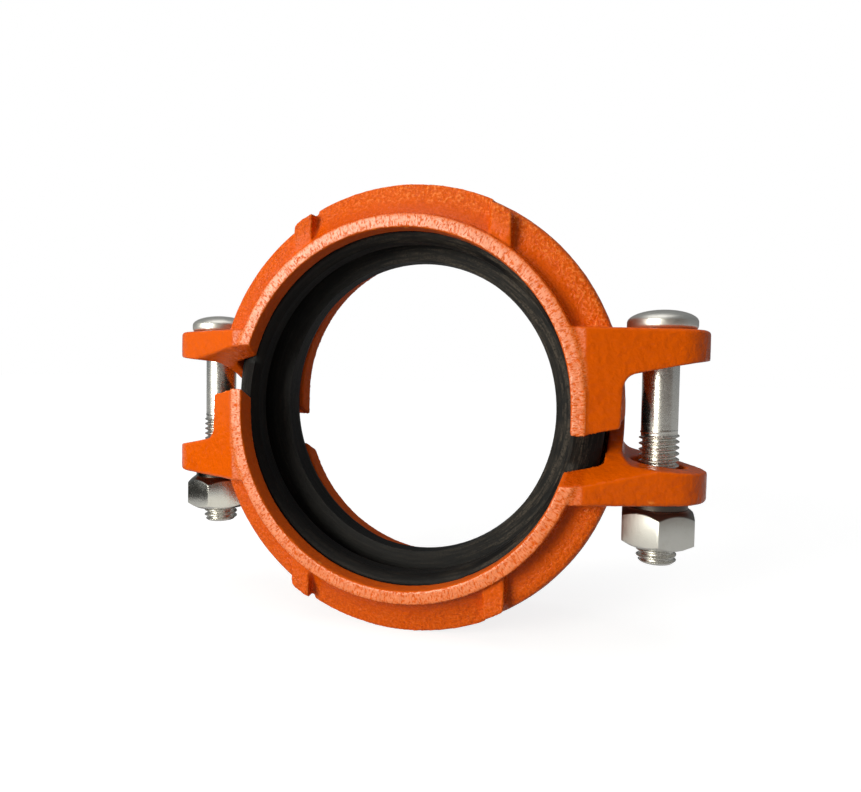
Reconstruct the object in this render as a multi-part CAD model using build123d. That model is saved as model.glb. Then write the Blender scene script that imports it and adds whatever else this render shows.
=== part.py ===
# Grooved pipe coupling, ready to install: two ductile iron housings, a rubber gasket,
# two oval-neck bolts and two heavy hex nuts.
# Millimetres. Y is the pipe axis, +Z up, the bolts stand along Z at +X and -X.
# The origin is on the pipe axis, half way between the two pipe ends.

from build123d import *
from math import asin, atan2, cos, hypot, radians, sin, tan
import os

# Pipe and its fits
pipe_diameter = 114.3
key_clearance = 0.5
lip_clearance = 0.25

# Housing ring, as radial sizes outwards from the keys
housing_width = 52.0
key_width = 7.0
rim_thickness = 5.0
pocket_depth = 10.95
crown_wall = 5.1
side_wall = 4.0
pocket_side_angle = 23.0
body_side_angle = 8.5
pocket_corner_radius = 3.0
crown_corner_radius = 4.0
valley_radius = 2.5
edge_radius = 0.8

# How the housings stand before the nuts are tightened
half_offset = 2.35
mating_gap = 15.2
mating_angle = 28.0

# Bolt pads
bolt_to_crown = 10.8
bolt_to_pad_end = 14.8
pad_height = 27.4
pad_end_radius = 16.0
pad_end_thickness = 9.7
pad_root_thickness_long = 15.2
pad_root_thickness_short = 11.2
pad_shoulder = 0.7
pad_edge_radius = 1.2
band_flat = 4.7
leg_draft = 5.0
haunch_radius = 4.5

# Casting lugs on the shoulders of each housing
lug_inner = 31.3
lug_width = 6.9
lug_face_setback = 2.4
lug_top_setback = 1.6
lug_corner_radius = 2.5
web_rim_setback = 2.7
web_crown_setback = 0.4

# Bolts, after 1/2 inch 13 thread per inch track bolts
thread_diameter = 12.7
thread_length = 43.9
shank_diameter = 11.6
head_diameter = 22.2
head_rim_height = 2.9
head_face_setback = 1.4
head_height = 7.0
neck_length = 17.0
neck_width = 12.9
neck_depth = 7.0
neck_clearance = 0.3
bolt_end_beyond_nut = 5.8
end_chamfer = 1.2

# Heavy hex nuts with a round shoulder that bears on the pad
nut_across_flats = 22.2
nut_hex_height = 12.5
nut_face_diameter = 19.6
nut_pad_side_chamfer = 40.0
nut_outer_chamfer = 30.0
nut_shoulder_height = 2.9
nut_shoulder_diameter = 19.0
nut_running_clearance = 0.06
nut_mouth_chamfer = 0.7
left_nut_turn = 13.7

# Gasket, C-shaped with a centre leg that stops the pipe ends
pocket_clearance = 0.3
lip_setback = 0.6
lip_flare_width = 3.6
lip_flare_rise = 1.5
lip_seat_width = 4.8
lip_thickness = 3.0
cavity_depth = 6.4
leg_height = 5.1
leg_tip_width = 5.6
leg_root_width = 8.6
cavity_corner_radius = 1.2

# Radii and half widths that follow from the sizes above
pipe_radius = pipe_diameter / 2
key_radius = pipe_radius + key_clearance
rim_radius = key_radius + rim_thickness
pocket_radius = key_radius + pocket_depth
crown_radius = pocket_radius + crown_wall
half_width = housing_width / 2
pocket_mouth = half_width - key_width
pocket_floor = pocket_mouth - pocket_depth * tan(radians(pocket_side_angle))
crown_half = pocket_floor + side_wall
valley_half = crown_half + (crown_radius - rim_radius) * tan(radians(body_side_angle))

# Mating faces: planes that climb along the pipe, one way at +X and the other way at -X
mating_rise = half_width * tan(radians(mating_angle))
leg_end = mating_gap / 2 - mating_rise

# Pads and bolts
bolt_x = crown_radius + bolt_to_crown
band_edge = key_radius + band_flat
pad_end_centre = bolt_x + bolt_to_pad_end - pad_end_radius
nut_height = nut_shoulder_height + nut_hex_height
bolt_length = 2 * pad_height + nut_height + bolt_end_beyond_nut
cut_margin = 5.0


def section(points, corners):
    """Face in the radius and pipe-axis plane, mirrored about mid-width, with its corners rounded."""
    outline = points + [(radius, -along) for radius, along in reversed(points)]
    face = make_face(Polyline(*outline, close=True))
    for (radius, along), rounding in corners:
        at_corner = [
            vertex
            for vertex in face.vertices()
            if hypot(vertex.X - radius, abs(vertex.Y) - along) < edge_radius / 10
        ]
        face = fillet(at_corner, rounding)
    return face


def half_turn(face):
    """Upper half of a body of revolution about the pipe axis."""
    return revolve(face, axis=Axis((0, 0, 0), (0, -1, 0)), revolution_arc=180)


def straight_sides(face, drop):
    """The same section carried straight down from both springing points."""
    right = extrude(face, amount=drop, dir=(0, 0, -1))
    return right + mirror(right, about=Plane.YZ)


def housing_outline():
    """Rim, side valley and crown of the ring, solid to the pipe axis."""
    valley = (rim_radius, valley_half)
    crown = (crown_radius, crown_half)
    rim = (rim_radius, half_width)
    face = section(
        [(0, half_width), rim, valley, crown],
        [(rim, edge_radius), (valley, valley_radius), (crown, crown_corner_radius)],
    )
    return face


def housing_void():
    """Pipe passage past the keys, with the gasket pocket between them."""
    floor = (pocket_radius, pocket_floor)
    mouth = (key_radius, pocket_mouth)
    face = section(
        [(0, half_width + cut_margin), (key_radius, half_width + cut_margin), mouth, floor],
        [(mouth, edge_radius), (floor, pocket_corner_radius)],
    )
    return face


def shoulder_web():
    """Side webs of the crown between the lugs, filled out towards the rim."""
    rim_foot = (rim_radius, half_width - web_rim_setback)
    crown_foot = (crown_radius, crown_half + web_crown_setback)
    face = make_face(Polyline((0, 0), (0, rim_foot[1]), rim_foot, crown_foot, (crown_radius, 0), close=True))
    half = half_turn(face)
    between_lugs = Box(2 * lug_inner, 2 * half_width, 2 * crown_radius)
    half = half & between_lugs
    return half + mirror(half, about=Plane.XZ)


def lugs():
    """Four upright lugs, two on each side face, with their outer top corners well rounded."""
    reach = half_width - lug_face_setback
    top = crown_radius - lug_top_setback
    outer = lug_inner + lug_width
    disc = Rot(90, 0, 0) * Cylinder(top, 2 * reach)
    centre = lug_inner + lug_width / 2
    bars = [Pos(side * centre, 0, crown_radius / 2) * Box(lug_width, 2 * reach, crown_radius) for side in (-1, 1)]
    body = disc & (bars[0] + bars[1])
    shoulders = [
        edge
        for edge in body.edges()
        if abs(abs(edge.center().X) - outer) < edge_radius / 10
        and edge.center().Z > crown_radius / 2
        and abs(edge.tangent_at(0.5).Y) > 0.8
    ]
    return fillet(shoulders, lug_corner_radius)


def pad_plan():
    """Plan of one pad: it narrows from the band on tangent lines to a round end past the bolt."""
    shoulder_y = half_width - pad_shoulder
    taper_length = pad_end_centre - band_edge
    reach = hypot(taper_length, shoulder_y)
    lean = atan2(shoulder_y, taper_length) - asin(pad_end_radius / reach)
    touch = (pad_end_centre + pad_end_radius * sin(lean), pad_end_radius * cos(lean))
    with BuildSketch() as plan:
        with BuildLine():
            Polyline((touch[0], -touch[1]), (band_edge, -shoulder_y), (0, -shoulder_y))
            Line((0, -shoulder_y), (0, shoulder_y))
            Polyline((0, shoulder_y), (band_edge, shoulder_y), touch)
            ThreePointArc(touch, (bolt_x + bolt_to_pad_end, 0), (touch[0], -touch[1]))
        make_face()
    return extrude(plan.sketch, amount=pad_height + mating_gap, both=True)


def pad_slab():
    """Pad between its bearing face and a warped underside, thicker beside the long leg."""
    tip = bolt_x + bolt_to_pad_end
    root = crown_radius
    overrun = tip + cut_margin
    slabs = []
    for along, root_thickness in ((-half_width, pad_root_thickness_long), (half_width, pad_root_thickness_short)):
        slope = (root_thickness - pad_end_thickness) / (tip - root)
        corners = [
            (0, pad_height),
            (overrun, pad_height),
            (overrun, pad_height - pad_end_thickness + slope * cut_margin),
            (0, pad_height - root_thickness - slope * root),
        ]
        face = make_face(Polyline(*[(x, along, z) for x, z in corners], close=True))
        slabs.append(face)
    return loft(slabs, ruled=True)


def leg_block():
    """Leg that closes the ring's side down to the mating face, with moulding draft outside."""
    foot = leg_end - cut_margin
    drop = pad_height - foot
    corners = [
        (0, pad_height),
        (crown_radius, pad_height),
        (crown_radius - drop * tan(radians(leg_draft)) / 2, foot),
        (0, foot),
    ]
    face = make_face(Polyline(*[(x, -half_width, z) for x, z in corners], close=True))
    return extrude(face, amount=housing_width, dir=(0, 1, 0))


def pad_and_leg():
    """One side of the housing outside the ring, with the haunch where pad and leg meet."""
    body = (pad_slab() + leg_block()) & pad_plan()
    corner_x = crown_radius
    inside = [
        edge
        for edge in body.edges()
        if abs(edge.center().X - corner_x) < haunch_radius / 2
        and leg_end < edge.center().Z < pad_height - pad_end_thickness
        and abs(edge.tangent_at(0.5).Y) > 0.8
    ]
    body = fillet(inside, haunch_radius)
    bearing_rim = [
        edge
        for edge in body.edges()
        if abs(edge.center().Z - pad_height) < edge_radius / 10 and edge.center().X > band_edge / 2
    ]
    return fillet(bearing_rim, pad_edge_radius)


def mating_cut():
    """All that lies under the inclined mating plane on the +X side."""
    reach = half_width + cut_margin
    rise = reach * tan(radians(mating_angle))
    level = mating_gap / 2
    below = -2 * crown_radius
    corners = [(-reach, level - rise), (reach, level + rise), (reach, below), (-reach, below)]
    face = make_face(Polyline(*[(0, y, z) for y, z in corners], close=True))
    return extrude(face, amount=bolt_x + bolt_to_pad_end + cut_margin, dir=(1, 0, 0))


def bolt_hole():
    """Oval hole that holds the bolt's neck from turning."""
    slot = SlotOverall(neck_length + 2 * neck_clearance, neck_width + 2 * neck_clearance)
    return Pos(bolt_x, 0, 0) * extrude(slot, amount=pad_height + cut_margin)


def both_sides(shape):
    """The shape at +X and the same shape turned half a turn about Z, at -X."""
    return shape + Rot(0, 0, 180) * shape


def upper_housing():
    drop = half_offset - leg_end + cut_margin
    outline = housing_outline()
    ring = half_turn(outline) + straight_sides(outline, drop) + shoulder_web() + lugs()
    ring = Pos(0, 0, half_offset) * ring
    body = ring + both_sides(pad_and_leg())
    passage = housing_void()
    void = Pos(0, 0, half_offset) * (half_turn(passage) + straight_sides(passage, drop + cut_margin))
    body = body - void - both_sides(mating_cut()) - both_sides(bolt_hole())
    return body


def gasket():
    """Ring that fills both pockets, oval outside and round inside, with lips on both pipe ends."""
    slack = pocket_clearance / cos(radians(pocket_side_angle))
    outer_radius = pocket_radius - pocket_clearance
    heel_half = pocket_mouth - slack - (outer_radius - key_radius) * tan(radians(pocket_side_angle))
    face_half = pocket_mouth - lip_setback
    face_radius = key_radius + (pocket_mouth - slack - face_half) / tan(radians(pocket_side_angle))
    heel = (outer_radius, heel_half)
    outline = section(
        [(0, face_half), (face_radius, face_half), heel],
        [(heel, pocket_corner_radius - pocket_clearance)],
    )
    half = Pos(0, 0, half_offset) * half_turn(outline)
    sides = Pos(0, 0, half_offset) * straight_sides(outline, 2 * half_offset)
    body = half + sides + mirror(half, about=Plane.XY)

    lip_radius = pipe_radius + lip_clearance
    lip_outer = face_half - lip_flare_width
    lip_inner = lip_outer - lip_seat_width
    cavity_radius = lip_radius + cavity_depth
    leg_radius = pipe_radius - leg_height
    undercut = lip_inner + lip_thickness / 2
    cavity_edge = (cavity_radius, undercut)
    leg_root = (cavity_radius, leg_root_width / 2)
    bore = section(
        [
            (0, face_half + cut_margin),
            (lip_radius + lip_flare_rise + cut_margin, face_half + cut_margin),
            (lip_radius + lip_flare_rise, face_half),
            (lip_radius, lip_outer),
            (lip_radius, lip_inner),
            (lip_radius + lip_thickness, undercut),
            cavity_edge,
            leg_root,
            (leg_radius, leg_tip_width / 2),
        ],
        [(cavity_edge, cavity_corner_radius), (leg_root, cavity_corner_radius)],
    )
    passage = half_turn(bore)
    return body - passage - mirror(passage, about=Plane.XY)


def track_bolt():
    """Round-headed bolt with an oval neck, head up, its bearing face at the pad's outer face."""
    head_radius = head_diameter / 2
    dome_rise = head_height - head_rim_height
    dome_radius = (head_radius**2 + dome_rise**2) / (2 * dome_rise)
    mid_angle = asin(head_radius / dome_radius) / 2
    with BuildSketch(Plane.XZ) as profile:
        with BuildLine():
            face_radius = head_radius - head_face_setback
            Polyline((0, head_height), (0, 0), (face_radius, 0))
            TangentArc((head_radius, head_rim_height), (face_radius, 0), tangent=(0, -1))
            mid = (dome_radius * sin(mid_angle), head_height - dome_radius * (1 - cos(mid_angle)))
            ThreePointArc((head_radius, head_rim_height), mid, (0, head_height))
        make_face()
    head = revolve(profile.sketch, axis=Axis.Z)
    neck = extrude(SlotOverall(neck_length, neck_width), amount=-neck_depth)
    shank = Pos(0, 0, -bolt_length / 2) * Cylinder(shank_diameter / 2, bolt_length)
    thread = Pos(0, 0, -bolt_length + thread_length / 2) * Cylinder(thread_diameter / 2, thread_length)
    thread = chamfer(thread.edges().filter_by(GeomType.CIRCLE), end_chamfer / 2)
    return Pos(bolt_x, 0, pad_height) * (head + neck + shank + thread)


def hex_nut(turn=0):
    """Heavy hex nut under the lower pad, a round shoulder on the pad and, unturned, a corner to the front."""
    flat = nut_across_flats / 2
    corner_radius = flat / cos(radians(30))
    face_radius = nut_face_diameter / 2
    rim = corner_radius + edge_radius
    pad_side_drop = (rim - face_radius) * tan(radians(nut_pad_side_chamfer))
    outer_drop = (rim - face_radius) * tan(radians(nut_outer_chamfer))
    profile = make_face(
        Polyline(
            (0, 0, 0),
            (face_radius, 0, 0),
            (rim, 0, -pad_side_drop),
            (rim, 0, -nut_hex_height + outer_drop),
            (face_radius, 0, -nut_hex_height),
            (0, 0, -nut_hex_height),
            close=True,
        )
    )
    prism = extrude(RegularPolygon(corner_radius, 6, rotation=90), amount=-nut_hex_height)
    hexagon = Pos(0, 0, -nut_shoulder_height) * (prism & revolve(profile, axis=Axis.Z))
    shoulder = Pos(0, 0, -nut_height / 2) * Cylinder(nut_shoulder_diameter / 2, nut_height)
    bore_radius = thread_diameter / 2 + nut_running_clearance
    bore = Pos(0, 0, -nut_height / 2) * Cylinder(bore_radius, nut_height + cut_margin)
    body = hexagon + shoulder - bore
    mouths = [
        edge
        for edge in body.edges().filter_by(GeomType.CIRCLE)
        if abs(edge.radius - bore_radius) < nut_running_clearance / 2
    ]
    body = chamfer(mouths, nut_mouth_chamfer)
    return Pos(bolt_x, 0, -pad_height) * Rot(0, 0, turn) * body


upper = upper_housing()
bolt = track_bolt()
half_turn_about_pipe = Rot(0, 180, 0)
half_turn_about_z = Rot(0, 0, 180)

pieces = {
    "upper_housing": upper,
    "lower_housing": half_turn_about_pipe * upper,
    "gasket": gasket(),
    "track_bolt_right": bolt,
    "track_bolt_left": half_turn_about_z * bolt,
    "hex_nut_right": hex_nut(),
    "hex_nut_left": half_turn_about_z * hex_nut(left_nut_turn),
}

os.makedirs("parts", exist_ok=True)
for name, piece in pieces.items():
    export_step(piece, f"parts/{name}.step")
    size = piece.bounding_box().size
    print(f"{name}: {size.X:.1f} x {size.Y:.1f} x {size.Z:.1f} mm, {len(piece.solids())} solid")
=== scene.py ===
import math

import bmesh
import bpy
from mathutils import Euler, Matrix, Vector


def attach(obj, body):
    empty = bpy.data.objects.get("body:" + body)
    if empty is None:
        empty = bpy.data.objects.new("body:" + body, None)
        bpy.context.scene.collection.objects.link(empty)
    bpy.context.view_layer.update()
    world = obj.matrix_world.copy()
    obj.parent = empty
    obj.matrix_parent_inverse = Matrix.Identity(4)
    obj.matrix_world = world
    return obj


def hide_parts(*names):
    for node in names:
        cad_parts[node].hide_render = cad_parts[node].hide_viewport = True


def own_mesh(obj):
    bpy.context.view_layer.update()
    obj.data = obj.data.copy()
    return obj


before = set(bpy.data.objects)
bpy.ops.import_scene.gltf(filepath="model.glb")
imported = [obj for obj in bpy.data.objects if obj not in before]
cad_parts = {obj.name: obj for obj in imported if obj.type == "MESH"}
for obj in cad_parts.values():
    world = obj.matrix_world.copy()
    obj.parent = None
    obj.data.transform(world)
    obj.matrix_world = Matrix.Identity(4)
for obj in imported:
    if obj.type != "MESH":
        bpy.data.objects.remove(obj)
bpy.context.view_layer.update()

mm = 0.001
scene = bpy.context.scene

# Places that several pieces or finishes share. A pair holds the ends of a soft step.
layout = dict(
    halfOffset=2.35 * mm,
    boltX=84.5 * mm,
    padHeight=27.4 * mm,
    padTop=(27.2 * mm, 28.4 * mm),
    lugMiddle=34.75 * mm,
    lugClear=(3.6 * mm, 4.4 * mm),
    nutFaceRadius=9.8 * mm,
)


# One socket of a node tree, so that an expression on it adds Math nodes.
class Wire:
    def __init__(self, tree, socket=None):
        self.tree = tree
        self.socket = socket

    # Adds a node: settings first, then the values or links of its sockets.
    def node(self, kind, settings=None, sockets=None, output=0):
        made = self.tree.nodes.new(kind)
        for name, value in (settings or {}).items():
            setattr(made, name, value)
        for name, value in (sockets or {}).items():
            socket = made.inputs[name]
            if isinstance(value, Wire):
                self.tree.links.new(value.socket, socket)
            else:
                socket.default_value = value
        return Wire(self.tree, made.outputs[output]) if made.outputs else made

    def math(self, operation, *values):
        return self.node("ShaderNodeMath", {"operation": operation}, dict(enumerate(values)))

    def vector(self, operation, *values, output=0):
        return self.node("ShaderNodeVectorMath", {"operation": operation}, dict(enumerate(values)), output)

    # Smooth step of this value between two others, from 0 to 1.
    def ramp(self, low, high):
        sockets = {"Value": self, "From Min": low, "From Max": high}
        return self.node("ShaderNodeMapRange", {"interpolation_type": "SMOOTHSTEP"}, sockets)

    # This colour with a share of another laid over it.
    def blend(self, colour, share):
        sockets = {0: share, 6: self, 7: (*colour, 1)}
        return self.node("ShaderNodeMix", {"data_type": "RGBA"}, sockets, output=2)

    def axes(self):
        parts = self.node("ShaderNodeSeparateXYZ", None, {0: self}).socket.node
        return [Wire(self.tree, output) for output in parts.outputs]

    def __abs__(self):
        return self.math("ABSOLUTE", self)

    def __add__(self, other):
        return self.math("ADD", self, other)

    def __radd__(self, other):
        return self.math("ADD", other, self)

    def __sub__(self, other):
        return self.math("SUBTRACT", self, other)

    def __rsub__(self, other):
        return self.math("SUBTRACT", other, self)

    def __mul__(self, other):
        return self.math("MULTIPLY", self, other)

    def __rmul__(self, other):
        return self.math("MULTIPLY", other, self)

    def __truediv__(self, other):
        return self.math("DIVIDE", self, other)

    def __rtruediv__(self, other):
        return self.math("DIVIDE", other, self)


def newMaterial(name):
    material = bpy.data.materials.new(name)
    material.use_nodes = True
    material.node_tree.nodes.clear()
    return material, Wire(material.node_tree)


def finishMaterial(wire, shader):
    wire.node("ShaderNodeOutputMaterial", None, {"Surface": shader})


def noise(wire, place, scale, detail, roughness):
    sockets = {"Vector": place, "Scale": scale, "Detail": detail, "Roughness": roughness}
    return wire.node("ShaderNodeTexNoise", None, sockets)


def plainTone(wire, colour):
    tone = wire.node("ShaderNodeRGB")
    tone.socket.default_value = (*colour, 1)
    return tone


# A share that never falls under a least value.
def atLeast(share, least):
    return share * (1 - least) + least


# Normals from a height in metres, on edges rounded by a small radius where one is given.
def bumped(wire, height, rounding=0):
    sockets = {"Strength": 1.0, "Distance": 1.0, "Height": height}
    if rounding:
        sockets["Normal"] = wire.node("ShaderNodeBevel", {"samples": 6}, {"Radius": rounding})
    return wire.node("ShaderNodeBump", None, sockets)


# Radius from the centre of the half that a point belongs to.
def halfRadius(wire, x, z):
    lifted = wire.math("MAXIMUM", abs(z) - layout["halfOffset"], 0.0)
    return wire.math("SQRT", x * x + lifted * lifted)


# Share of the surface that lies clear of the shoulder lugs, from 0 to 1.
def offLugs(x):
    return abs(abs(x) - layout["lugMiddle"]).ramp(*layout["lugClear"])


# Housing paint: orange enamel, sandy on the rough cast sides, wrinkled under a pale sheen on the rims, with
# painted highlights on edges, wrinkle tops and grains, and painted shade in corners and the valley.
# A noise is its scale per metre, detail and roughness.
paint = dict(
    colour=(0.73, 0.102, 0.0),
    # Darker paint: a random tone and sand pits, and also painted shade in corners and the valley.
    darkToneAndShadeColour=(0.46, 0.042, 0.0),
    paintedHighlightColour=(0.96, 0.29, 0.04),
    paintedGlintColour=(0.92, 0.28, 0.06),
    roughness=0.20,
    sandRoughness=0.10,
    boreRoughness=0.35,
    specular=0.13,
    veil=0.80,
    veilRoughness=0.45,
    veilIor=1.95,
    edgeRadius=0.4 * mm,
    # Where rims, legs, pads and bore begin or end
    rimBand=(63.0 * mm, 64.2 * mm),
    rimFace=(24.9 * mm, 25.5 * mm),
    rimFlat=(0.78, 0.94),
    legSide=(61.2 * mm, 62.0 * mm),
    padStart=(61.0 * mm, 62.8 * mm),
    boreRadius=(58.3 * mm, 59.2 * mm),
    smoothing=0.7,
    # Wrinkles on the rims, sand and grains on the rough sides, and a soft unevenness everywhere
    clumps=(160, 3, 0.6),
    clumpRange=(0.45, 0.75),
    clumpShare=0.2,
    wrinkles=(1 / (0.45 * mm), 2, 0.5),
    wrinkleStretch=0.45,
    wrinkleHeight=0.22 * mm,
    ringRadius=60 * mm,
    pits=(0.33, 0.57),
    topLift=0.15,
    topHighlightShare=0.4,
    sand=(1 / (0.95 * mm), 3, 0.6),
    sandHeight=0.30 * mm,
    sandRange=(0.3, 0.7),
    sandPits=(0.3, 0.55),
    sandPitShare=0.35,
    grainStart=(65.5 * mm, 69.5 * mm),
    grainHeight=1.0,
    grainPitShare=0.15,
    sparkRange=(0.50, 0.68),
    sparkLift=0.8,
    sparkSide=(10 * mm, 70 * mm),
    leastSparks=0.2,
    paintedGlintShare=0.6,
    peel=(1 / (2.2 * mm), 2, 0.5),
    peelHeight=0.42 * mm,
    # Painted shade in corners and in the valley, painted highlights on edges
    cornerShadeRange=(0.42, 0.49),
    cornerShadeShare=0.5,
    edgeHighlightRange=(0.52, 0.60),
    edgeHighlightShare=0.5,
    valley=(64.0 * mm, 70.0 * mm),
    valleyShadeShare=0.38,
)


# Share of the rims' end faces and of the legs' faces beside them at a place, from 0 to 1.
def rimShare(wire, place):
    x, y, z = place.axes()
    inBand = 1 - halfRadius(wire, x, z).ramp(*paint["rimBand"])
    onLeg = (1 - abs(x).ramp(*paint["legSide"])) * (1 - abs(z).ramp(*layout["padTop"]))
    return wire.math("MAXIMUM", inBand, onLeg) * abs(y).ramp(*paint["rimFace"])


def makePaint():
    material, wire = newMaterial("orangeEnamel")
    place = wire.node("ShaderNodeTexCoord", None, None, "Object")
    x, y, z = place.axes()
    radius = halfRadius(wire, x, z)
    facing = wire.node("ShaderNodeNewGeometry", None, None, "Normal").axes()[1]
    rim = rimShare(wire, place) * abs(facing).ramp(*paint["rimFlat"])
    onPad = abs(x).ramp(*paint["padStart"]) * (1 - abs(z).ramp(*layout["padTop"]))
    onBore = (1 - radius.ramp(*paint["boreRadius"])) * (1 - rim)
    smoothCast = wire.math("MAXIMUM", onPad, onBore)
    rough = 1 - smoothCast * paint["smoothing"]
    grainy = radius.ramp(*paint["grainStart"]) * (1 - smoothCast)

    clumps = noise(wire, place, *paint["clumps"])
    around = abs(wire.math("ARCTAN2", z, x)) * paint["ringRadius"]
    inward = radius * paint["wrinkleStretch"]
    unrolled = wire.node("ShaderNodeCombineXYZ", None, {0: around, 1: y, 2: inward})
    wrinkles = noise(wire, unrolled, *paint["wrinkles"])
    tops = wrinkles.ramp(*paint["pits"])
    sand = noise(wire, place, *paint["sand"])
    peel = noise(wire, place, *paint["peel"])
    height = (
        (wrinkles + tops * paint["topLift"]) * paint["wrinkleHeight"] * rim
        + sand * paint["sandHeight"] * (rough + grainy * paint["grainHeight"])
        + peel * paint["peelHeight"]
    )

    convex = wire.node("ShaderNodeNewGeometry", None, None, "Pointiness")
    edge = convex.ramp(*paint["edgeHighlightRange"])
    hollow = 1 - convex.ramp(*paint["cornerShadeRange"])
    pitShare = rough * paint["sandPitShare"] + grainy * paint["grainPitShare"]
    tone = plainTone(wire, paint["colour"])
    tone = tone.blend(paint["darkToneAndShadeColour"], clumps.ramp(*paint["clumpRange"]) * paint["clumpShare"])
    # Painted shade: the paint darkens in concave corners, where shade falls.
    tone = tone.blend(paint["darkToneAndShadeColour"], hollow * paint["cornerShadeShare"])
    tone = tone.blend(paint["darkToneAndShadeColour"], (1 - sand.ramp(*paint["sandPits"])) * pitShare)
    # Painted shade: the paint is darker in the valley beside the rim, between the lugs.
    valleyShade = (1 - radius.ramp(*paint["valley"])) * (1 - rim) * (1 - smoothCast) * offLugs(x)
    tone = tone.blend(paint["darkToneAndShadeColour"], valleyShade * paint["valleyShadeShare"])
    # Painted glints: the crown's grains are lightened as if they catch the light, most of all on its upper
    # right.
    sparkSide = (x + z * paint["sparkLift"]).ramp(*paint["sparkSide"])
    paintedGlints = sand.ramp(*paint["sparkRange"]) * grainy * atLeast(sparkSide, paint["leastSparks"])
    tone = tone.blend(paint["paintedGlintColour"], paintedGlints * paint["paintedGlintShare"])
    # Painted highlight: convex edges are lightened as if catching the light.
    tone = tone.blend(paint["paintedHighlightColour"], edge * paint["edgeHighlightShare"])
    # Painted highlight: the tops of the rims' wrinkles are lightened like a sheen.
    tone = tone.blend(paint["paintedHighlightColour"], rim * tops * paint["topHighlightShare"])
    gloss = paint["roughness"] + sand.ramp(*paint["sandRange"]) * rough * paint["sandRoughness"]
    sockets = {
        "Base Color": tone,
        "Roughness": gloss + onBore * paint["boreRoughness"],
        "Specular IOR Level": paint["specular"],
        "Normal": bumped(wire, height, paint["edgeRadius"]),
        "Coat Weight": rim * tops * paint["veil"],
        "Coat Roughness": paint["veilRoughness"],
        "Coat IOR": paint["veilIor"],
    }
    finishMaterial(wire, wire.node("ShaderNodeBsdfPrincipled", None, sockets))
    return material


# Bolts and nuts: bright zinc, smooth on the bolts, satin on the nuts, whose shoulders carry painted shade.
zinc = dict(
    boltColour=(0.66, 0.645, 0.60),
    boltRoughness=0.22,
    boltStain=0.35,
    boltSpeck=0.01 * mm,
    nutColour=(0.68, 0.672, 0.625),
    nutRoughness=0.34,
    nutStain=0.25,
    nutSpeck=0.04 * mm,
    leftNutSmoother=0.16,
    leftSide=(-1 * mm, 1 * mm),
    headStart=(27.0 * mm, 28.0 * mm),
    headRoughness=0.13,
    stainColour=(0.40, 0.35, 0.27),
    stainRange=(0.5, 0.8),
    shoulderShadeColour=(0.045, 0.026, 0.018),
    shoulderEdge=(-30.6 * mm, -30.2 * mm),
    shoulderShadeShare=0.92,
    coneSlope=0.84,
    # Clouds, specks and drawn streaks in the plating
    clouds=(220, 4, 0.6),
    cloudRange=(0.35, 0.7),
    cloudHeight=0.05 * mm,
    specks=(1900, 3, 0.6),
    speckRange=(0.4, 0.7),
    streaks=(1500, 2, 0.5),
    streakStretch=(1.0, 1.0, 0.12),
    streakHeight=0.012 * mm,
    uneven=0.06,
    edgeRadius=0.25 * mm,
)


def makeZinc(kind):
    material, wire = newMaterial(kind + "Zinc")
    place = wire.node("ShaderNodeTexCoord", None, None, "Object")
    x, y, z = place.axes()
    clouds = noise(wire, place, *zinc["clouds"])
    specks = noise(wire, place, *zinc["specks"])
    streaks = noise(wire, wire.vector("MULTIPLY", place, zinc["streakStretch"]), *zinc["streaks"])
    tone = plainTone(wire, zinc[kind + "Colour"])
    tone = tone.blend(zinc["stainColour"], clouds.ramp(*zinc["stainRange"]) * zinc[kind + "Stain"])
    gloss = zinc[kind + "Roughness"] + clouds.ramp(*zinc["cloudRange"]) * zinc["uneven"]
    gloss = gloss + specks.ramp(*zinc["speckRange"]) * zinc["uneven"]
    if kind == "nut":
        # Painted shade darkens the cone and shoulder on the pad's side, which lie above the line of the
        # chamfer.
        across = abs(x) - layout["boltX"]
        radius = wire.math("SQRT", across * across + y * y)
        beyondFace = wire.math("MAXIMUM", radius - layout["nutFaceRadius"], 0.0)
        overCone = z + beyondFace * zinc["coneSlope"]
        shoulder = overCone.ramp(*zinc["shoulderEdge"]) * zinc["shoulderShadeShare"]
        tone = tone.blend(zinc["shoulderShadeColour"], shoulder)
        # The left nut has kept a smoother plating than the right one.
        gloss = gloss - (1 - x.ramp(*zinc["leftSide"])) * zinc["leftNutSmoother"]
    else:
        gloss = gloss + z.ramp(*zinc["headStart"]) * zinc["headRoughness"]
    height = specks * zinc[kind + "Speck"] + streaks * zinc["streakHeight"] + clouds * zinc["cloudHeight"]
    sockets = {
        "Base Color": tone,
        "Metallic": 1.0,
        "Roughness": gloss,
        "Normal": bumped(wire, height, zinc["edgeRadius"]),
    }
    finishMaterial(wire, wire.node("ShaderNodeBsdfPrincipled", None, sockets))
    return material


# Gasket: black moulded rubber with fine brownish rings round the bore.
rubber = dict(
    colour=(0.0045, 0.0042, 0.0040),
    dustAndLightColour=(0.078, 0.062, 0.046),
    roughness=0.55,
    speckRoughness=0.12,
    specular=0.14,
    # Rings round the bore, and the dust in them
    rings=(1 / (0.85 * mm), 3, 0.65),
    ringStretch=(0.004, 0.4),
    ringRange=(0.42, 0.68),
    ringHeight=0.14 * mm,
    ringDust=0.85,
    outside=(64.0 * mm, 67.0 * mm),
    outsideLoss=0.8,
    clouds=(90, 4, 0.6),
    cloudRange=(0.4, 0.8),
    cloudDust=0.25,
    specks=(1400, 3, 0.6),
    speckRange=(0.4, 0.7),
    speckHeight=0.03 * mm,
    dustSpecks=(0.3, 0.6),
    dustLift=0.35,
    litSide=(-20 * mm, 45 * mm),
    leastDust=0.15,
)


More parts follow.
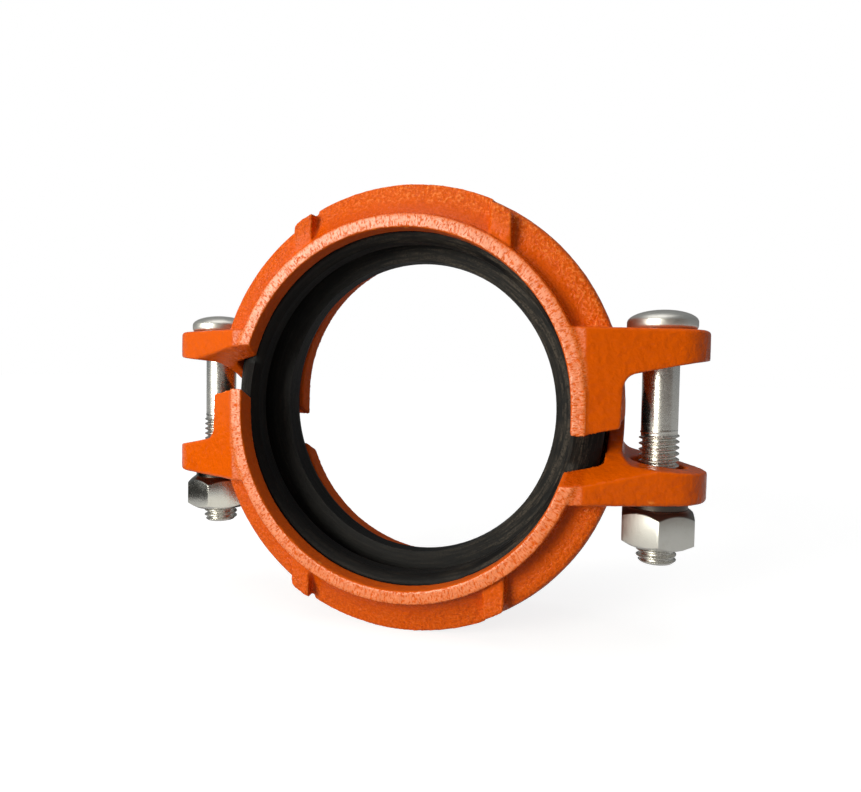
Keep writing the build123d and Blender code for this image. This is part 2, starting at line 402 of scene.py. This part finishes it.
def makeRubber():
    material, wire = newMaterial("blackRubber")
    place = wire.node("ShaderNodeTexCoord", None, None, "Object")
    x, y, z = place.axes()
    radius = wire.math("SQRT", x * x + z * z)
    clouds = noise(wire, place, *rubber["clouds"])
    specks = noise(wire, place, *rubber["specks"])
    around, along = rubber["ringStretch"]
    angle = abs(wire.math("ARCTAN2", z, x))
    unrolled = wire.node("ShaderNodeCombineXYZ", None, {0: angle * around, 1: y * along, 2: radius})
    rings = noise(wire, unrolled, *rubber["rings"])
    # Dust lies in the rings round the bore; painted light makes it stronger on the right and the top, and
    # painted shade keeps it faint on the left.
    litSide = (x + z * rubber["dustLift"]).ramp(*rubber["litSide"])
    inRings = rings.ramp(*rubber["ringRange"]) * specks.ramp(*rubber["dustSpecks"])
    inRings = inRings * (rubber["ringDust"] - radius.ramp(*rubber["outside"]) * rubber["outsideLoss"])
    dustAndLight = clouds.ramp(*rubber["cloudRange"]) * rubber["cloudDust"] + inRings
    dustAndLight = dustAndLight * atLeast(litSide, rubber["leastDust"])
    gloss = rubber["roughness"] + specks.ramp(*rubber["speckRange"]) * rubber["speckRoughness"]
    sockets = {
        "Base Color": plainTone(wire, rubber["colour"]).blend(rubber["dustAndLightColour"], dustAndLight),
        "Roughness": gloss,
        "Specular IOR Level": rubber["specular"],
        "Normal": bumped(wire, specks * rubber["speckHeight"] + rings * rubber["ringHeight"]),
    }
    finishMaterial(wire, wire.node("ShaderNodeBsdfPrincipled", None, sockets))
    return material


paintMaterial = makePaint()
boltMaterial = makeZinc("bolt")
nutMaterial = makeZinc("nut")
rubberMaterial = makeRubber()
print("materials made")


def newObject(name, data):
    made = bpy.data.objects.new(name, data)
    scene.collection.objects.link(made)
    return made


def newPiece(name, mesh, material, body, node):
    piece = newObject(name, mesh)
    mesh.materials.clear()
    mesh.materials.append(material)
    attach(piece, body)
    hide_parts(node)
    return piece


# Turns a working mesh into a mesh of its own.
def closeMesh(work, name):
    mesh = bpy.data.meshes.new(name)
    work.to_mesh(mesh)
    work.free()
    return mesh


# A merged copy of a CAD node's triangles.
def mergedCopy(node):
    work = bmesh.new()
    work.from_mesh(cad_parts[node].data)
    bmesh.ops.remove_doubles(work, verts=work.verts, dist=0.002 * mm)
    return closeMesh(work, node + "Copy")


def smoothByAngle(mesh, angle):
    mesh.shade_smooth()
    mesh.set_sharp_from_angle(angle=math.radians(angle))


# Gives a mesh to a helper object, lets a function add modifiers, and gives back the plain result.
def applied(mesh, addModifiers):
    helper = newObject("helper", mesh)
    addModifiers(helper)
    bpy.context.view_layer.update()
    evaluated = helper.evaluated_get(bpy.context.evaluated_depsgraph_get())
    result = bpy.data.meshes.new_from_object(evaluated)
    bpy.data.objects.remove(helper)
    return result


# Runs a geometry tree on a mesh.
def grown(mesh, tree, inputs):
    def addTree(helper):
        modifier = helper.modifiers.new("grow", "NODES")
        modifier.node_group = tree
        for socket in tree.interface.items_tree:
            if socket.in_out == "INPUT" and socket.name in inputs:
                modifier[socket.identifier] = inputs[socket.name]

    return applied(mesh, addTree)


socketKinds = {float: "NodeSocketFloat", int: "NodeSocketInt", bpy.types.Material: "NodeSocketMaterial"}


# Starts a geometry tree that has an input for each name in a dictionary of values.
def newTree(name, inputs):
    tree = bpy.data.node_groups.new(name, "GeometryNodeTree")
    face = tree.interface
    face.new_socket("Geometry", in_out="INPUT", socket_type="NodeSocketGeometry")
    for label, value in inputs.items():
        face.new_socket(label, in_out="INPUT", socket_type=socketKinds[type(value)])
    face.new_socket("Geometry", in_out="OUTPUT", socket_type="NodeSocketGeometry")
    given = {socket.name: Wire(tree, socket) for socket in tree.nodes.new("NodeGroupInput").outputs}
    return Wire(tree), given


# Ends a geometry tree with real geometry in one material.
def endTree(wire, geometry, material):
    whole = wire.node("GeometryNodeRealizeInstances", None, {0: geometry})
    coated = wire.node("GeometryNodeSetMaterial", None, {"Geometry": whole, "Material": material})
    wire.tree.links.new(coated.socket, wire.tree.nodes.new("NodeGroupOutput").inputs[0])
    return wire.tree


# Housings: the castings' soft edges and slightly uneven skin.
casting = dict(
    voxel=0.5 * mm,
    lean=(0.49, 0.31, 0.83),
    smoothing=0.5,
    smoothRounds=6,
    keptShare=0.42,
    lumpDetail=2.0,
    lumpMiddle=0.5,
    rimSink=0.3,
    hollowRadius=(62.65 * mm, 73.7 * mm),
    hollowFacing=(0.6, 0.85),
    skin={
        "Wave height": 0.22 * mm,
        "Wave scale": 140.0,
        "Lump height": 0.10 * mm,
        "Lump scale": 420.0,
        "Rim height": 0.22 * mm,
        "Rim scale": 640.0,
        "Sink": 0.06 * mm,
        "Hollow depth": 0.8 * mm,
        "Seed": 7.0,
        "Material": paintMaterial,
    },
)


def castSkinTree():
    wire, given = newTree("castSkin", casting["skin"])
    place = wire.node("GeometryNodeInputPosition")
    normal = wire.node("GeometryNodeInputNormal")
    x, y, z = place.axes()

    # Noise round zero, from a seed of its own.
    def lumps(name, shift):
        sockets = {
            "Vector": place,
            "W": given["Seed"] + shift,
            "Scale": given[name + " scale"],
            "Detail": casting["lumpDetail"],
        }
        return wire.node("ShaderNodeTexNoise", {"noise_dimensions": "4D"}, sockets) - casting["lumpMiddle"]

    height = lumps("Wave", 0) * given["Wave height"] + lumps("Lump", 3) * given["Lump height"]
    rimSkin = (lumps("Rim", 5) - casting["rimSink"]) * given["Rim height"]
    height = height + rimSkin * rimShare(wire, place) - given["Sink"]
    # The side webs are hollow between the rim and the crown, away from the lugs and pads, and
    # deepest half way, where 4 * along * (1 - along) is 1.
    inner, outer = casting["hollowRadius"]
    along = (halfRadius(wire, x, z) - inner) / (outer - inner)
    along = wire.math("MINIMUM", wire.math("MAXIMUM", along, 0.0), 1.0)
    sideways = abs(normal.axes()[1]).ramp(*casting["hollowFacing"])
    offPad = abs(z).ramp(*layout["padTop"])
    hollow = given["Hollow depth"] * 4 * along * (1 - along)
    height = height - hollow * offLugs(x) * sideways * offPad
    offset = wire.node("ShaderNodeVectorMath", {"operation": "SCALE"}, {"Vector": normal, "Scale": height})
    sockets = {"Geometry": given["Geometry"], "Offset": offset}
    moved = wire.node("GeometryNodeSetPosition", None, sockets)
    return endTree(wire, moved, given["Material"])


# Soft edges from a fine remesh. It runs leaning over, so that no edge follows the remesh's own grid.
def softCasting(mesh):
    def addRemesh(helper):
        remesh = helper.modifiers.new("skin", "REMESH")
        remesh.mode = "VOXEL"
        remesh.voxel_size = casting["voxel"]
        remesh.use_smooth_shade = True
        smooth = helper.modifiers.new("soft", "SMOOTH")
        smooth.factor = casting["smoothing"]
        smooth.iterations = casting["smoothRounds"]

    lean = Euler(casting["lean"]).to_matrix().to_4x4()
    mesh.transform(lean)
    soft = applied(mesh, addRemesh)
    soft.transform(lean.inverted())
    return soft


def addDecimate(helper):
    helper.modifiers.new("fewer", "DECIMATE").ratio = casting["keptShare"]


castSkin = castSkinTree()
for body in ("upper", "lower"):
    node = body + "_housing"
    soft = softCasting(mergedCopy(node))
    skin = applied(grown(soft, castSkin, casting["skin"]), addDecimate)
    skin.shade_smooth()
    newPiece(body + "HousingCasting", skin, paintMaterial, body, node)
    print(body, "housing made,", len(skin.polygons), "faces")


# Track bolts: a lathe-turned blank with a domed head, an oval neck and a rolled thread.
bolt = dict(
    length=76.0 * mm,
    headRadius=11.1 * mm,
    rimHeight=2.9 * mm,
    footRadius=1.7 * mm,
    footSteps=8,
    headHeight=7.0 * mm,
    domeSteps=24,
    neckLength=17.0 * mm,
    neckWidth=12.9 * mm,
    neckDepth=7.0 * mm,
    neckEdge=0.5 * mm,
    edgeMiddle=0.3,
    underHead=1.0 * mm,
    shankRadius=5.8 * mm,
    threadRadius=6.35 * mm,
    rootRadius=5.25 * mm,
    pitch=25.4 / 13 * mm,
    flank=(0.16, 0.92),
    threadLength=43.9 * mm,
    runOut=2.2 * mm,
    endChamfer=1.2 * mm,
    endSlope=1.1,
    around=64,
    rowsPerTurn=16,
    sharpAngle=35,
)
threadInputs = {
    "Top": bolt["threadLength"] - bolt["length"],
    "Length": bolt["threadLength"],
    "Crest radius": bolt["threadRadius"],
    "Root radius": bolt["rootRadius"],
    "Shank radius": bolt["shankRadius"],
    "Pitch": bolt["pitch"],
    "Run out": bolt["runOut"],
    "End chamfer": bolt["endChamfer"],
    "Sides": bolt["around"],
    "Rows": round(bolt["threadLength"] / bolt["pitch"] * bolt["rowsPerTurn"]),
    "Material": boltMaterial,
}


# Rings of points turned into one closed skin, with a point at each pole.
def latheMesh(work, outline, around):
    rings = []
    for radius, height in outline:
        if radius == 0:
            rings.append([work.verts.new((0, 0, height))])
            continue
        ring = []
        for step in range(around):
            angle = 2 * math.pi * step / around
            ring.append(work.verts.new((radius * math.cos(angle), radius * math.sin(angle), height)))
        rings.append(ring)
    skinRings(work, rings)


def skinRings(work, rings):
    for upper, lower in zip(rings, rings[1:]):
        count = max(len(upper), len(lower))
        for step in range(count):
            after = (step + 1) % count
            if len(upper) == 1:
                work.faces.new((upper[0], lower[step], lower[after]))
            elif len(lower) == 1:
                work.faces.new((upper[step], lower[0], upper[after]))
            else:
                work.faces.new((upper[step], lower[step], lower[after], upper[after]))


# The head's outline in radius and height, from the top of its dome to the shank.
def headOutline():
    rise = bolt["headHeight"] - bolt["rimHeight"]
    steps = bolt["domeSteps"]
    outline = [(0, bolt["headHeight"])]
    for step in range(1, steps + 1):
        angle = math.radians(90) * step / steps
        outline.append((bolt["headRadius"] * math.sin(angle), bolt["rimHeight"] + rise * math.cos(angle)))
    foot = bolt["footRadius"]
    for step in range(bolt["footSteps"] + 1):
        angle = math.radians(-90 * step / bolt["footSteps"])
        outline.append((bolt["headRadius"] - foot + foot * math.cos(angle), foot + foot * math.sin(angle)))
    outline.append((bolt["shankRadius"], 0))
    return outline


def boltBlank():
    work = bmesh.new()
    shank = bolt["shankRadius"]
    shankEnd = -bolt["length"] + bolt["threadLength"] - bolt["runOut"]
    outline = headOutline() + [(shank, -bolt["underHead"]), (shank, shankEnd), (0, shankEnd)]
    latheMesh(work, outline, bolt["around"])
    # The neck is a slot-shaped prism round the shank, with its lower edge rounded.
    rings = []
    straight = (bolt["neckLength"] - bolt["neckWidth"]) / 2
    edge = bolt["neckEdge"]
    middle = bolt["edgeMiddle"] * edge
    foot = -bolt["neckDepth"]
    for inset, height in ((0, 0), (0, foot + edge), (middle, foot + middle), (edge, foot)):
        reach = bolt["neckWidth"] / 2 - inset
        ring = []
        for step in range(bolt["around"]):
            angle = 2 * math.pi * (step + 0.5) / bolt["around"]
            shift = math.copysign(straight, math.cos(angle))
            ring.append(work.verts.new((shift + reach * math.cos(angle), reach * math.sin(angle), height)))
        rings.append(ring)
    top = [work.verts.new((0, 0, 0))]
    bottom = [work.verts.new((0, 0, foot))]
    skinRings(work, [top] + rings + [bottom])
    bmesh.ops.recalc_face_normals(work, faces=work.faces)
    return closeMesh(work, "boltBlank")


def threadTree():
    wire, given = newTree("rolledThread", threadInputs)
    # A rod of radius 1, whose rows of points are then spread to the thread's radius.
    sockets = {
        "Vertices": given["Sides"],
        "Side Segments": given["Rows"],
        "Radius": 1.0,
        "Depth": given["Length"],
    }
    rod = wire.node("GeometryNodeMeshCylinder", {"fill_type": "TRIANGLE_FAN"}, sockets)
    x, y, z = wire.node("GeometryNodeInputPosition").axes()
    fromEnd = z + given["Length"] * 0.5
    turns = wire.math("ARCTAN2", y, x) / (2 * math.pi)
    phase = wire.math("FRACT", fromEnd / given["Pitch"] - turns)
    ridge = (1 - abs(phase * 2 - 1)).ramp(*bolt["flank"])
    profile = given["Root radius"] + (given["Crest radius"] - given["Root radius"]) * ridge
    # The ridges fade into the shank at the top and into a cone at the end.
    fade = ((given["Length"] - fromEnd) / given["Run out"]).ramp(0.0, 1.0)
    faded = given["Shank radius"] + (profile - given["Shank radius"]) * fade
    cone = given["Crest radius"] - given["End chamfer"] + fromEnd * bolt["endSlope"]
    radius = wire.math("MINIMUM", faded, cone)
    height = fromEnd + given["Top"] - given["Length"]
    spread = wire.node("ShaderNodeCombineXYZ", None, {0: x * radius, 1: y * radius, 2: height})
    shaped = wire.node("GeometryNodeSetPosition", None, {"Geometry": rod, "Position": spread})
    both = wire.node("GeometryNodeJoinGeometry", None, {0: shaped})
    wire.tree.links.new(given["Geometry"].socket, both.socket.node.inputs[0])
    return endTree(wire, both, given["Material"])


rolledThread = threadTree()
for side, name in ((1, "Right"), (-1, "Left")):
    mesh = grown(boltBlank(), rolledThread, threadInputs)
    mesh.transform(Matrix.Translation((side * layout["boltX"], 0, layout["padHeight"])))
    smoothByAngle(mesh, bolt["sharpAngle"])
    newPiece("trackBolt" + name, mesh, boltMaterial, "upper", "track_bolt_" + name.lower())
    print("bolt made,", len(mesh.polygons), "faces")


# Heavy hex nuts: rounded corners, chamfered faces, a round shoulder on the pad and a bore.
nut = dict(
    acrossFlats=22.2 * mm,
    hexHeight=12.5 * mm,
    padSideChamfer=40.0,
    outerChamfer=30.0,
    shoulderHeight=2.9 * mm,
    shoulderRadius=9.5 * mm,
    boreRadius=6.41 * mm,
    mouth=0.7 * mm,
    cornerRounding=0.45 * mm,
    edgeRounding=0.25 * mm,
    faceRings=(0.35, 0.7, 1.0),  # shares of the way from the face's circle to the edge
    edgeRings=((0.3, 0.15), (0.0, 0.7)),  # shares of the rounding, inwards and along
    filletRings=((0.0, 0.15 * mm), (0.12 * mm, 0.02 * mm)),  # out from the shoulder, up from the hexagon
    around=240,
    frontCorner=30.0,
    leftTurn=13.7,
    sharpAngle=28,
)


# Distance from the axis to the hexagon's side at an angle from a corner, with rounded corners.
def hexRadius(angle):
    flat = nut["acrossFlats"] / 2
    fromFlat = (angle % (math.pi / 3)) - math.pi / 6
    sharp = flat / math.cos(fromFlat)
    rounding = nut["cornerRounding"]
    cornerCentre = (flat - rounding) / math.cos(math.pi / 6)
    toCorner = math.pi / 6 - abs(fromFlat)
    reach = cornerCentre * math.sin(toCorner)
    if reach >= rounding:
        return sharp
    rounded = cornerCentre * math.cos(toCorner) + math.sqrt(rounding**2 - reach**2)
    return min(sharp, rounded)


def nutMesh(turn):
    work = bmesh.new()
    rings = []
    face = layout["nutFaceRadius"]
    shoulder = nut["shoulderRadius"]
    bore = nut["boreRadius"]
    mouth = nut["mouth"]
    edge = nut["edgeRounding"]
    hexTop = -nut["shoulderHeight"]
    hexFoot = hexTop - nut["hexHeight"]
    topSlope = -math.tan(math.radians(nut["padSideChamfer"]))
    footSlope = math.tan(math.radians(nut["outerChamfer"]))
    start = math.radians(turn + nut["frontCorner"])

    # One ring: a function of the hexagon's radius at that angle gives radius and height.
    def ring(shape):
        made = []
        for step in range(nut["around"]):
            angle = 2 * math.pi * step / nut["around"]
            radius, height = shape(hexRadius(angle))
            x, y = radius * math.cos(angle + start), radius * math.sin(angle + start)
            made.append(work.verts.new((x, y, height)))
        rings.append(made)

    def roundRings(*points):
        for point in points:
            ring(lambda side: point)

    # A point on the chamfer, at a share of the way from the face's circle to the edge.
    def chamferPoint(side, share, level, slope):
        radius = face + (side - edge - face) * share
        return radius, level + max(0.0, radius - face) * slope

    # A point on the rounded edge between the chamfer and the hexagon's side.
    def edgePoint(side, inwards, along, level, slope):
        radius = side - inwards * edge
        return radius, level + max(0.0, radius - face) * slope + math.copysign(along * edge, slope)

    roundRings((bore, -mouth), (bore + mouth, 0), (shoulder - edge, 0), (shoulder, -edge))
    for out, up in nut["filletRings"]:
        roundRings((shoulder + out, hexTop + up))
    for share in nut["faceRings"]:
        ring(lambda side: chamferPoint(side, share, hexTop, topSlope))
    for inwards, along in nut["edgeRings"]:
        ring(lambda side: edgePoint(side, inwards, along, hexTop, topSlope))
    for inwards, along in reversed(nut["edgeRings"]):
        ring(lambda side: edgePoint(side, inwards, along, hexFoot, footSlope))
    for share in (*reversed(nut["faceRings"]), 0.0):
        ring(lambda side: chamferPoint(side, share, hexFoot, footSlope))
    roundRings((bore + mouth, hexFoot), (bore, hexFoot + mouth))
    skinRings(work, rings + rings[:1])
    bmesh.ops.recalc_face_normals(work, faces=work.faces)
    return closeMesh(work, "nutBlank")


for side, name, turn in ((1, "Right", 0.0), (-1, "Left", nut["leftTurn"])):
    mesh = nutMesh(turn)
    mesh.transform(Matrix.Translation((side * layout["boltX"], 0, -layout["padHeight"])))
    smoothByAngle(mesh, nut["sharpAngle"])
    newPiece("hexNut" + name, mesh, nutMaterial, "nut_" + name.lower(), "hex_nut_" + name.lower())
    print("nut made,", len(mesh.polygons), "faces")


# Gasket: the moulded ring, squeezed as the housings close. Its centre leg is a little oval, its back crowned.
gasketFit = dict(
    anchor=-70.65 * mm,
    closing=9.61 * mm,
    legRadius=(53.0 * mm, 56.5 * mm),
    legRise=0.016,
    backRadius=(63.0 * mm, 68.0 * mm),
    backHalf=(7.0 * mm, 14.5 * mm),
    backCrown=1.1 * mm,
    backTaper=0.10,
    sharpAngle=30,
)


def smoothStep(value, limits):
    low, high = limits
    share = min(max((value - low) / (high - low), 0.0), 1.0)
    return share * share * (3 - 2 * share)


def shapeGasket(mesh):
    for vertex in mesh.vertices:
        x, y, z = vertex.co
        leg = 1 - smoothStep(math.hypot(x, z), gasketFit["legRadius"])
        x *= 1 - gasketFit["legRise"] * leg
        z *= 1 + gasketFit["legRise"] * leg
        centre = math.copysign(min(abs(z), layout["halfOffset"]), z)
        radius = math.hypot(x, z - centre)
        back = smoothStep(radius, gasketFit["backRadius"])
        crown = gasketFit["backCrown"] * back * smoothStep(abs(y), gasketFit["backHalf"])
        kept = 1 - crown / radius
        vertex.co = (x * kept, y * (1 - gasketFit["backTaper"] * back), centre + (z - centre) * kept)


mesh = mergedCopy("gasket")
shapeGasket(mesh)
smoothByAngle(mesh, gasketFit["sharpAngle"])
gasket = newPiece("gasketRing", mesh, rubberMaterial, "lower", "gasket")
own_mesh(gasket)
print("gasket made,", len(mesh.polygons), "faces")


# Wires that are 1 on rays from the camera, from glossy surfaces and through clear ones.
def rayKinds(wire):
    outputs = wire.node("ShaderNodeLightPath").socket.node.outputs
    names = ("Is Camera Ray", "Is Glossy Ray", "Is Transmission Ray")
    return [Wire(wire.tree, outputs[name]) for name in names]


# Floor: grey to the lamps, near white to the camera, and dimmer in reflections.
floorLook = dict(
    height=-76.15 * mm,
    size=14.0,
    colour=(0.36, 0.36, 0.36),
    roughness=0.9,
    nearGlow=0.82,
    farGlow=0.94,
    glowRange=(0.25, 0.9),
    glossyShare=0.36,
)


def makeFloor():
    material, wire = newMaterial("paleFloor")
    seen, glossy, through = rayKinds(wire)
    ray = wire.math("MINIMUM", seen + glossy * floorLook["glossyShare"] + through, 1.0)
    place = wire.node("ShaderNodeTexCoord", None, None, "Object")
    away = wire.vector("LENGTH", place, output=1).ramp(*floorLook["glowRange"])
    glow = floorLook["nearGlow"] + away * (floorLook["farGlow"] - floorLook["nearGlow"])
    sockets = {
        "Base Color": (*floorLook["colour"], 1),
        "Roughness": floorLook["roughness"],
        "Specular IOR Level": 0.0,
        "Emission Color": (1, 1, 1, 1),
        "Emission Strength": ray * glow,
    }
    finishMaterial(wire, wire.node("ShaderNodeBsdfPrincipled", None, sockets))
    work = bmesh.new()
    bmesh.ops.create_grid(work, x_segments=1, y_segments=1, size=floorLook["size"] / 2)
    mesh = closeMesh(work, "floor")
    mesh.transform(Matrix.Translation((0, 0, floorLook["height"])))
    mesh.materials.append(material)
    newObject("floor", mesh)


makeFloor()

# World: white behind the part, and a plain fill on it, of which the paint mirrors little.
fill = dict(
    strength=0.20,
    colour=(0.92, 0.97, 1.0),
    mirrored=0.06,
    backdropSide=(0.5, 0.87),
    backdropTop=(0.55, 0.75),
    backdropShare=0.06,
    behindSide=(0.76, 0.92),
    behindShare=0.3,
)


def makeWorld():
    world = bpy.data.worlds.new("studio")
    world.use_nodes = True
    world.node_tree.nodes.clear()
    wire = Wire(world.node_tree)
    seen, glossy, through = rayKinds(wire)
    towards = wire.node("ShaderNodeTexCoord", None, None, "Generated").axes()
    backdrop = towards[1].ramp(*fill["backdropSide"]) * (1 - towards[2].ramp(*fill["backdropTop"]))
    ray = wire.math("MINIMUM", seen + glossy * backdrop * fill["backdropShare"] + through, 1.0)
    dim = 1 - glossy * towards[1].ramp(*fill["behindSide"]) * (1 - fill["behindShare"])
    strength = (fill["strength"] + glossy * fill["mirrored"]) * dim
    soft = wire.node("ShaderNodeBackground", None, {"Color": (*fill["colour"], 1), "Strength": strength})
    white = wire.node("ShaderNodeBackground", None, {"Color": (1, 1, 1, 1), "Strength": 1.0})
    mixed = wire.node("ShaderNodeMixShader", None, {0: ray, 1: soft, 2: white})
    wire.node("ShaderNodeOutputWorld", None, {"Surface": mixed})
    scene.world = world


makeWorld()

# Lamps: azimuth and elevation seen from the part, distance, width and height, and watts.
lamps = dict(
    window=dict(
        azimuth=243,
        elevation=13,
        distance=1.1,
        size=(0.50, 0.58),
        power=11.9,
        colour=(1.0, 0.99, 0.90),
        mirrored=True,
    ),
    overhead=dict(
        azimuth=250,
        elevation=78,
        distance=1.0,
        size=(0.9, 0.9),
        power=3.5,
        colour=(1.0, 0.98, 0.96),
        mirrored=True,
    ),
    backFill=dict(
        azimuth=40,
        elevation=25,
        distance=1.4,
        size=(1.0, 0.8),
        power=0.9,
        colour=(0.92, 0.96, 1.0),
        mirrored=False,
    ),
)


def fromPart(azimuth, elevation, distance):
    turn = math.radians(azimuth)
    lift = math.radians(elevation)
    flat = math.cos(lift)
    return Vector((flat * math.cos(turn), flat * math.sin(turn), math.sin(lift))) * distance


def turnToPart(thing):
    thing.rotation_euler = (-thing.location).to_track_quat("-Z", "Y").to_euler()


for name, look in lamps.items():
    data = bpy.data.lights.new(name, "AREA")
    data.shape = "RECTANGLE"
    data.size, data.size_y = look["size"]
    data.energy = look["power"]
    data.color = look["colour"]
    lamp = newObject(name, data)
    lamp.location = fromPart(look["azimuth"], look["elevation"], look["distance"])
    turnToPart(lamp)
    lamp.visible_glossy = look["mirrored"]

# Cards beside the camera and on the floor, seen only where the part mirrors them.
cards = dict(
    farLeft=dict(place=(-0.93, -0.74, 0.0), size=(0.30, 1.0), colour=(1.55, 1.52, 1.44), flat=False),
    besideCamera=dict(place=(-0.19, -1.15, 0.05), size=(0.20, 0.6), colour=(1.5, 1.45, 1.3), flat=False),
    behindCamera=dict(place=(0.87, -1.34, 0.10), size=(2.7, 1.5), colour=(0.10, 0.072, 0.058), flat=False),
    lowLeft=dict(place=(-0.200, -0.066, -0.058), size=(0.16, 0.075), colour=(0.0, 0.0, 0.0), flat=False),
    behindLeft=dict(place=(-0.20, 0.15, -0.0755), size=(0.30, 0.26), colour=(0.03, 0.02, 0.015), flat=True),
    onFloor=dict(place=(-0.055, -0.120, -0.0755), size=(0.21, 0.18), colour=(0.95, 0.93, 0.86), flat=True),
)
for name, look in cards.items():
    material, wire = newMaterial(name)
    sockets = {"Color": (*look["colour"], 1), "Strength": 1.0}
    finishMaterial(wire, wire.node("ShaderNodeEmission", None, sockets))
    width, height = look["size"]
    corners = [(x * width / 2, y * height / 2, 0) for x, y in ((-1, -1), (1, -1), (1, 1), (-1, 1))]
    mesh = bpy.data.meshes.new(name)
    mesh.from_pydata(corners, [], [(0, 1, 2, 3)])
    mesh.materials.append(material)
    card = newObject(name, mesh)
    card.location = look["place"]
    if not look["flat"]:
        turnToPart(card)
    card.visible_camera = False
    card.visible_diffuse = False
    card.visible_shadow = False
    card.visible_transmission = False
print("floor, world, lamps and cards made")

# Camera: low on the near side, a little right of the middle.
eye = dict(place=(0.07267, -0.21678, 0.01206), yaw=17.26, pitch=1.98, roll=0.92, lens=25.861, sensor=36.0)
cameraData = bpy.data.cameras.new("camera")
cameraData.lens = eye["lens"]
cameraData.sensor_width = eye["sensor"]
cameraData.sensor_fit = "HORIZONTAL"
cameraData.dof.use_dof = False
cameraData.clip_start = 10 * mm
camera = newObject("camera", cameraData)
turned = Matrix.Rotation(math.radians(eye["yaw"]), 4, "Z")
turned = turned @ Matrix.Rotation(math.radians(90 - eye["pitch"]), 4, "X")
turned = turned @ Matrix.Rotation(math.radians(eye["roll"]), 4, "Z")
camera.matrix_world = Matrix.Translation(eye["place"]) @ turned
scene.camera = camera
scene.view_settings.view_transform = "Standard"
print("camera set")
